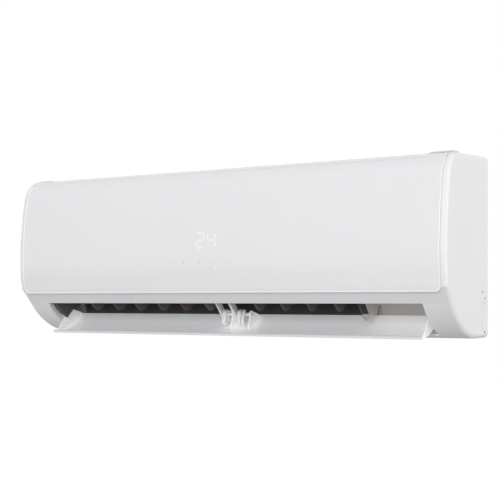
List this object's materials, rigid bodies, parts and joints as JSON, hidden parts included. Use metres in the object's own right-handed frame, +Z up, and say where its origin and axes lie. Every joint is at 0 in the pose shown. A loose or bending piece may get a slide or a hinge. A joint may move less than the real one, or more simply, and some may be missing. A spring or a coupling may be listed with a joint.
{
  "type": "mini split indoor unit",
  "caption": "Wall-hung mini split indoor unit: bowed hinged front panel, tilting louver over swinging vanes, top intake grille, coil, cross-flow fan, electrics and wall plate.",
  "frame": {"origin": "centre of the wall plate's four screw holes, on the wall's face", "axes": "+X to the viewer's right along the case, +Y into the wall, +Z up"},
  "size_m": [0.805, 0.194, 0.285],
  "materials": {
    "case_plastic": "fine satin moulding",
    "panel_plastic": "smooth semi-gloss moulding",
    "louver_plastic": "satin moulding",
    "bracket_plastic": "satin moulding",
    "chassis_plastic": "matt moulding",
    "pan_plastic": "matt moulding",
    "vane_plastic": "matt moulding",
    "fan_plastic": "glass-filled moulding",
    "filter_plastic": "moulded frame with woven net",
    "clip_plastic": "satin moulding",
    "bearing_bronze": "sintered bronze",
    "motor_casing": "zinc-coated, satin",
    "shaft_steel": "ground",
    "ring_rubber": "matt",
    "coil_fins": "thin fins, coated",
    "galvanised_steel": "zinc spangle",
    "copper": "drawn copper tube, slightly dulled",
    "union_brass": "turned brass",
    "circuit_board": "solder-masked laminate",
    "terminal_plastic": "moulded"
  },
  "bodies": {
    "chassis": {"front_frame": "case_plastic", "top_grille": "case_plastic", "louver_bracket": "bracket_plastic", "louver_bush": "bracket_plastic", "chassis": "chassis_plastic", "drain_pan": "pan_plastic", "filter_left": "filter_plastic", "filter_right": "filter_plastic", "motor_cover": "clip_plastic", "pipe_clamp": "clip_plastic", "fan_bearing": "bearing_bronze", "fan_motor": "motor_casing", "louver_motor": "motor_casing", "swing_motor": "motor_casing", "frame_screws": "shaft_steel", "motor_rings": "ring_rubber", "drain_plug": "ring_rubber", "coil_front_lower": "coil_fins", "coil_front_upper": "coil_fins", "coil_rear": "coil_fins", "tube_sheet_left": "galvanised_steel", "tube_sheet_right": "galvanised_steel", "wall_plate": "galvanised_steel", "electrical_box": "galvanised_steel", "box_cover": "galvanised_steel", "return_bends": "copper", "gas_pipe": "copper", "liquid_pipe": "copper", "gas_union": "union_brass", "liquid_union": "union_brass", "control_board": "circuit_board", "display_board": "circuit_board", "terminal_block": "terminal_plastic", "room_sensor": "terminal_plastic"},
    "panel": {"front_panel": "panel_plastic"},
    "louver": {"louver": "louver_plastic", "louver_shaft": "shaft_steel"},
    "fan": {"cross_flow_fan": "fan_plastic", "motor_shaft": "shaft_steel"},
    "crank": {"swing_crank": "vane_plastic"},
    "link": {"vane_link": "vane_plastic"},
    "button": {"emergency_button": "clip_plastic"},
    "vane_01_body": {"vane_01": "vane_plastic"},
    "vane_02_body": {"vane_02": "vane_plastic"},
    "vane_03_body": {"vane_03": "vane_plastic"},
    "vane_04_body": {"vane_04": "vane_plastic"},
    "vane_05_body": {"vane_05": "vane_plastic"},
    "vane_06_body": {"vane_06": "vane_plastic"},
    "vane_07_body": {"vane_07": "vane_plastic"},
    "vane_08_body": {"vane_08": "vane_plastic"},
    "vane_09_body": {"vane_09": "vane_plastic"},
    "vane_10_body": {"vane_10": "vane_plastic"}
  },
  "joints": [
    {"name": "panel_hinge", "type": "hinge", "parent": "chassis", "child": "panel", "pos_m": [0, -0.1505, 0.1205], "axis": [-1, 0, 0], "range_deg": [0, 60]},
    {"name": "louver_tilt", "type": "hinge", "parent": "chassis", "child": "louver", "pos_m": [0, -0.113, -0.1144], "axis": [1, 0, 0], "range_deg": [-57, 20]},
    {"name": "fan_spin", "type": "hinge", "parent": "chassis", "child": "fan", "pos_m": [0, -0.086, -0.028], "axis": [1, 0, 0], "continuous": true},
    {"name": "crank_turn", "type": "hinge", "parent": "chassis", "child": "crank", "pos_m": [0.232, -0.15253, -0.07543], "axis": [0, 0.768, -0.6404], "range_deg": [-30, 30]},
    {"name": "link_slide", "type": "slide", "parent": "chassis", "child": "link", "axis": [1, 0, 0], "range_m": [-0.0089, 0.0089]},
    {"name": "button_press", "type": "slide", "parent": "chassis", "child": "button", "axis": [0, 1, 0], "range_m": [0, 0.0015], "stiffness_N_per_m": 300},
    {"name": "vane_01_turn", "type": "hinge", "parent": "chassis", "child": "vane_01_body", "pos_m": [-0.265, -0.15253, -0.07543], "axis": [0, 0.768, -0.6404], "range_deg": [-30, 30]},
    {"name": "vane_02_turn", "type": "hinge", "parent": "chassis", "child": "vane_02_body", "pos_m": [-0.2175, -0.15253, -0.07543], "axis": [0, 0.768, -0.6404], "range_deg": [-30, 30]},
    {"name": "vane_03_turn", "type": "hinge", "parent": "chassis", "child": "vane_03_body", "pos_m": [-0.17, -0.15253, -0.07543], "axis": [0, 0.768, -0.6404], "range_deg": [-30, 30]},
    {"name": "vane_04_turn", "type": "hinge", "parent": "chassis", "child": "vane_04_body", "pos_m": [-0.1225, -0.15253, -0.07543], "axis": [0, 0.768, -0.6404], "range_deg": [-30, 30]},
    {"name": "vane_05_turn", "type": "hinge", "parent": "chassis", "child": "vane_05_body", "pos_m": [-0.075, -0.15253, -0.07543], "axis": [0, 0.768, -0.6404], "range_deg": [-30, 30]},
    {"name": "vane_06_turn", "type": "hinge", "parent": "chassis", "child": "vane_06_body", "pos_m": [-0.0275, -0.15253, -0.07543], "axis": [0, 0.768, -0.6404], "range_deg": [-30, 30]},
    {"name": "vane_07_turn", "type": "hinge", "parent": "chassis", "child": "vane_07_body", "pos_m": [0.0675, -0.15253, -0.07543], "axis": [0, 0.768, -0.6404], "range_deg": [-30, 30]},
    {"name": "vane_08_turn", "type": "hinge", "parent": "chassis", "child": "vane_08_body", "pos_m": [0.115, -0.15253, -0.07543], "axis": [0, 0.768, -0.6404], "range_deg": [-30, 30]},
    {"name": "vane_09_turn", "type": "hinge", "parent": "chassis", "child": "vane_09_body", "pos_m": [0.1625, -0.15253, -0.07543], "axis": [0, 0.768, -0.6404], "range_deg": [-30, 30]},
    {"name": "vane_10_turn", "type": "hinge", "parent": "chassis", "child": "vane_10_body", "pos_m": [0.21, -0.15253, -0.07543], "axis": [0, 0.768, -0.6404], "range_deg": [-30, 30]}
  ],
  "couplings": [
    {"joint": "crank_turn", "follows": "link_slide", "rad_per_m": 58.824},
    {"joint": "vane_01_turn", "follows": "link_slide", "rad_per_m": 58.824},
    {"joint": "vane_02_turn", "follows": "link_slide", "rad_per_m": 58.824},
    {"joint": "vane_03_turn", "follows": "link_slide", "rad_per_m": 58.824},
    {"joint": "vane_04_turn", "follows": "link_slide", "rad_per_m": 58.824},
    {"joint": "vane_05_turn", "follows": "link_slide", "rad_per_m": 58.824},
    {"joint": "vane_06_turn", "follows": "link_slide", "rad_per_m": 58.824},
    {"joint": "vane_07_turn", "follows": "link_slide", "rad_per_m": 58.824},
    {"joint": "vane_08_turn", "follows": "link_slide", "rad_per_m": 58.824},
    {"joint": "vane_09_turn", "follows": "link_slide", "rad_per_m": 58.824},
    {"joint": "vane_10_turn", "follows": "link_slide", "rad_per_m": 58.824}
  ]
}
